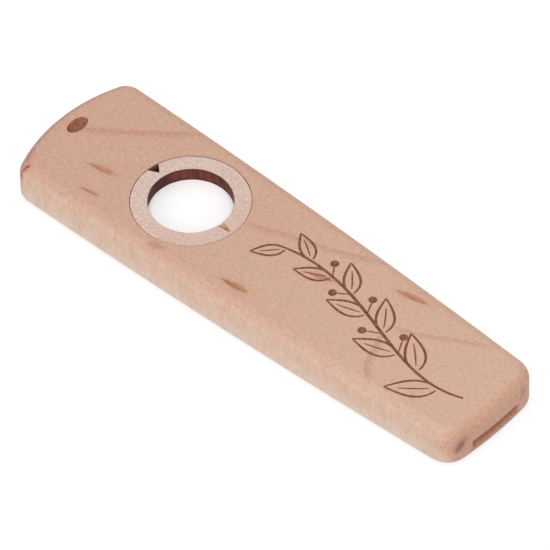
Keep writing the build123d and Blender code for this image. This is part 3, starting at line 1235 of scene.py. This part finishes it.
def notch_cutter(sizes, placing, material):
    """The V of the prising notch, reaching past the ring's edge and both faces."""
    edge = -sizes.outer_radius
    spread = sizes.notch_width / 2 / sizes.notch_depth * (sizes.notch_depth + BEYOND)
    outline = [(edge + sizes.notch_depth, 0), (edge - BEYOND, spread), (edge - BEYOND, -spread)]
    heights = (RING_Z - BEYOND, TOP_Z + BEYOND)
    loops = [[placing @ Vector((*place, z)) for place in outline] for z in heights]
    return solid("notch_cutter", loops, [material], material)


def groove_cutter(sizes, placing, material):
    """A shallow V that is widest and deepest at the ring's hole and narrows towards its outer edge."""
    before = 0.0005
    above = 0.0002
    turn = Matrix.Rotation(sizes.groove_turn, 4, "Z")
    narrowing = (sizes.groove_width - sizes.groove_tip_width) / sizes.groove_length
    loops = []
    for reach in (-before, sizes.groove_length):
        width = sizes.groove_width - narrowing * reach
        depth = sizes.groove_depth * width / sizes.groove_width
        spread = width / 2 * (depth + above) / depth
        x = sizes.hole_radius + reach
        section = [(x, -spread, TOP_Z + above), (x, 0, TOP_Z - depth), (x, spread, TOP_Z + above)]
        loops.append([placing @ turn @ Vector(place) for place in section])
    return solid("groove_cutter", loops, [material], material)


def film_loops(sizes, x):
    """Loops of a taut disc, from the middle of its underside round its edge to the middle of its top."""
    rings = 26
    steps = 120
    outwards = [ring / rings for ring in range(1, rings + 1)]
    loops = []
    for face_z, into_film, shares in ((FILM_Z, 1, outwards), (RING_Z, -1, reversed(outwards))):
        for share in shares:
            radius = sizes.membrane_radius * share
            slack = math.sin(math.pi * min(1.0, radius / sizes.hole_radius)) ** 2
            loop = []
            for i in range(steps):
                angle = math.tau * i / steps
                waves = math.sin(3 * angle + 9 * share) + math.sin(7 * angle - 5 * share)
                z = face_z + into_film * max(0.0, sizes.ripple * slack * waves)
                loop.append((x + radius * math.cos(angle), radius * math.sin(angle), z))
            loops.append(loop)
    return loops


class KAZOO_OT_upper_board(bpy.types.Operator):
    """Builds the upper board with its recess, vent and burnt sprig"""

    bl_idname = "kazoo.upper_board"
    bl_label = "Upper board"

    def execute(self, context):
        sizes = context.scene.kazoo_body
        colours = context.scene.kazoo_colours
        wood = shared(figured_wood, colours)
        scorched = scorched_wood(colours, ring_x(sizes))
        burnt = burnt_line(colours)
        browned = shared(browned_wood, colours)
        materials = [wood, scorched, burnt, browned]
        arcs = body_plan(sizes)
        loops = [plan_loop(arcs, 0.0, JOINT_Z)] + round_over(arcs, sizes.top_edge_round, TOP_Z, 1)
        board = solid("wooden_upper_board", loops, materials, wood)
        cut(board, recess_cutter(sizes, materials, scorched))
        soft = sizes.rim_softening
        levels = [(JOINT_Z - BEYOND, 0.0), (TOP_Z - soft, 0.0), (TOP_Z + BEYOND, soft + BEYOND)]
        cut(board, vent_cutter(sizes, levels, materials, browned))
        for cutter in engraving(context.scene.kazoo_sprig, burnt):
            dress(cutter.data, materials, burnt)
            cut(board, cutter)
        hand_over(smooth(board), "body", "upper_board")
        return {"FINISHED"}


class KAZOO_OT_lower_board(bpy.types.Operator):
    """Builds the lower board with the air way in it"""

    bl_idname = "kazoo.lower_board"
    bl_label = "Lower board"

    def execute(self, context):
        sizes = context.scene.kazoo_body
        colours = context.scene.kazoo_colours
        wood = shared(figured_wood, colours)
        milled = milled_wood(colours)
        browned = shared(browned_wood, colours)
        materials = [wood, milled, browned]
        arcs = body_plan(sizes)
        loops = list(reversed(round_over(arcs, sizes.bottom_edge_round, 0.0, -1)))
        loops.append(plan_loop(arcs, 0.0, JOINT_Z))
        board = solid("wooden_lower_board", loops, materials, wood)
        cut(board, airway_cutter(sizes, materials, milled))
        soft = sizes.rim_softening
        levels = [(-BEYOND, soft + BEYOND), (soft, 0.0), (sizes.airway_floor + BEYOND, 0.0)]
        cut(board, vent_cutter(sizes, levels, materials, browned))
        hand_over(smooth(board), "body", "lower_board")
        return {"FINISHED"}


class KAZOO_OT_ring(bpy.types.Operator):
    """Builds the push-fit ring with its notch and groove"""

    bl_idname = "kazoo.ring"
    bl_label = "Push-fit ring"

    def execute(self, context):
        sizes = context.scene.kazoo_ring
        x = ring_x(context.scene.kazoo_body)
        wood = pale_ring_wood(context.scene.kazoo_colours, sizes, x)
        radii = (sizes.hole_radius, sizes.outer_radius)
        ring = turned_ring("push_fit_ring", x, radii, (RING_Z, TOP_Z), sizes.edge_softening, wood)
        placing = Matrix.Translation((x, 0, 0)) @ Matrix.Rotation(sizes.turn, 4, "Z")
        cut(ring, notch_cutter(sizes, placing, wood))
        cut(ring, groove_cutter(sizes, placing, wood))
        hand_over(smooth(ring), "ring", "retaining_ring")
        return {"FINISHED"}


class KAZOO_OT_membrane(bpy.types.Operator):
    """Builds the film and the hoop that keeps it flat"""

    bl_idname = "kazoo.membrane"
    bl_label = "Membrane"

    def execute(self, context):
        sizes = context.scene.kazoo_ring
        colours = context.scene.kazoo_colours
        x = ring_x(context.scene.kazoo_body)
        card = fibrous_card(colours)
        white = white_film(colours)
        radii = (sizes.membrane_radius - sizes.hoop_width, sizes.membrane_radius)
        hoop = turned_ring("stiff_hoop", x, radii, (LEDGE_Z, FILM_Z), sizes.edge_softening, card)
        hand_over(smooth(hoop), "membrane", "membrane_hoop")
        film = solid("taut_film", film_loops(sizes, x), [white], white)
        hand_over(smooth(film), "membrane", "membrane_film")
        return {"FINISHED"}


def seen_as_white(graph):
    """1 for what the camera sees, straight or in a reflection, and 0 for light that falls on the object."""
    camera_ray = graph.node("ShaderNodeLightPath", output="Is Camera Ray")
    seen = camera_ray + camera_ray.out("Is Glossy Ray") + camera_ray.out("Is Transmission Ray")
    return graph.maths("MINIMUM", seen, 1.0)


def make_sky(scene, stage):
    """Even light from all sides, behind which the camera sees white."""
    world = bpy.data.worlds.new("studio")
    world.use_nodes = True
    scene.world = world
    graph = Graph(world.node_tree)
    seen = seen_as_white(graph)
    strength = seen + (1.0 - seen) * stage.sky
    background = world.node_tree.nodes["Background"]
    background.inputs["Color"].default_value = WHITE
    world.node_tree.links.new(strength.socket, background.inputs["Strength"])


def make_floor(stage):
    """A white floor that keeps a soft shadow and can be looked through from below."""
    half = stage.floor_size / 2
    corners = [(x * half, y * half, -stage.floor_drop) for x, y in ((-1, -1), (1, -1), (1, 1), (-1, 1))]
    mesh = bpy.data.meshes.new("floor")
    mesh.from_pydata(corners, [], [(0, 1, 2, 3)])
    material = bpy.data.materials.new("floor_white")
    material.use_nodes = True
    material.node_tree.nodes.clear()
    graph = Graph(material.node_tree)
    grey = (stage.floor_shade, stage.floor_shade, stage.floor_shade, 1.0)
    bounce = graph.node("ShaderNodeEmission", sockets={"Color": WHITE, "Strength": stage.floor_bounce})
    shaded = graph.node("ShaderNodeBsdfDiffuse", sockets={"Color": grey})
    glow = graph.node("ShaderNodeEmission", sockets={"Color": WHITE, "Strength": stage.floor_glow})
    bright = graph.node("ShaderNodeAddShader", sockets={0: shaded, 1: glow})
    top = graph.node("ShaderNodeMixShader", sockets={0: seen_as_white(graph), 1: bounce, 2: bright})
    clear = graph.node("ShaderNodeBsdfTransparent")
    below = graph.node("ShaderNodeNewGeometry", output="Backfacing")
    both = graph.node("ShaderNodeMixShader", sockets={0: below, 1: top, 2: clear})
    output = material.node_tree.nodes.new("ShaderNodeOutputMaterial")
    material.node_tree.links.new(both.socket, output.inputs["Surface"])
    mesh.materials.append(material)
    new_object("floor", mesh)


def make_lamp(name, energy, size, place):
    """A large soft lamp that points at the object."""
    lamp = bpy.data.lights.new(name, "AREA")
    lamp.energy = energy
    lamp.size = size
    holder = new_object(name, lamp)
    holder.location = place
    holder.rotation_euler = (-Vector(place)).to_track_quat("-Z", "Y").to_euler()


def make_camera(scene, stage):
    """The camera at the picture's viewing angle."""
    level = math.cos(stage.elevation)
    back = Vector(
        (math.sin(stage.azimuth) * level, -math.cos(stage.azimuth) * level, math.sin(stage.elevation))
    )
    right = Vector((math.cos(stage.azimuth), math.sin(stage.azimuth), 0.0))
    up = back.cross(right)
    level_turn = Matrix((right, up, back)).transposed()
    turn = level_turn @ Matrix.Rotation(-stage.roll, 3, "Z")
    camera = bpy.data.cameras.new("camera")
    camera.lens = stage.lens
    holder = new_object("camera", camera)
    holder.matrix_world = Matrix.Translation(Vector(stage.aim) + back * stage.distance) @ turn.to_4x4()
    scene.camera = holder


class KAZOO_OT_stage(bpy.types.Operator):
    """Sets the floor, the light and the camera"""

    bl_idname = "kazoo.stage"
    bl_label = "Stage"

    def execute(self, context):
        scene = context.scene
        scene.view_settings.view_transform = "Standard"
        stage = scene.kazoo_stage
        make_sky(scene, stage)
        make_floor(stage)
        make_lamp("top", stage.top_power, stage.lamp_size, stage.top_place)
        make_lamp("key", stage.key_power, stage.lamp_size, stage.key_place)
        make_lamp("fill", stage.fill_power, stage.lamp_size, stage.fill_place)
        make_camera(scene, stage)
        return {"FINISHED"}


class KAZOO_PT_panel(bpy.types.Panel):
    """Lists the steps that build the kazoo"""

    bl_idname = "KAZOO_PT_panel"
    bl_label = "Wooden kazoo"
    bl_space_type = "VIEW_3D"
    bl_region_type = "UI"
    bl_category = "Kazoo"

    def draw(self, context):
        for operator in OPERATORS:
            self.layout.operator(operator.bl_idname)


OPERATORS = (
    KAZOO_OT_upper_board,
    KAZOO_OT_lower_board,
    KAZOO_OT_ring,
    KAZOO_OT_membrane,
    KAZOO_OT_stage,
)
GROUPS = {
    "kazoo_body": KazooBodySizes,
    "kazoo_ring": KazooRingSizes,
    "kazoo_sprig": KazooSprig,
    "kazoo_colours": KazooColours,
    "kazoo_stage": KazooStage,
}
CLASSES = (*GROUPS.values(), *OPERATORS, KAZOO_PT_panel)


def register():
    for item in CLASSES:
        bpy.utils.register_class(item)
    for name, group in GROUPS.items():
        setattr(bpy.types.Scene, name, PointerProperty(type=group))


def unregister():
    for name in GROUPS:
        delattr(bpy.types.Scene, name)
    for item in reversed(CLASSES):
        bpy.utils.unregister_class(item)


def main():
    register()
    bpy.ops.kazoo.upper_board()
    bpy.ops.kazoo.lower_board()
    bpy.ops.kazoo.ring()
    bpy.ops.kazoo.membrane()
    bpy.ops.kazoo.stage()


if __name__ == "__main__":
    main()
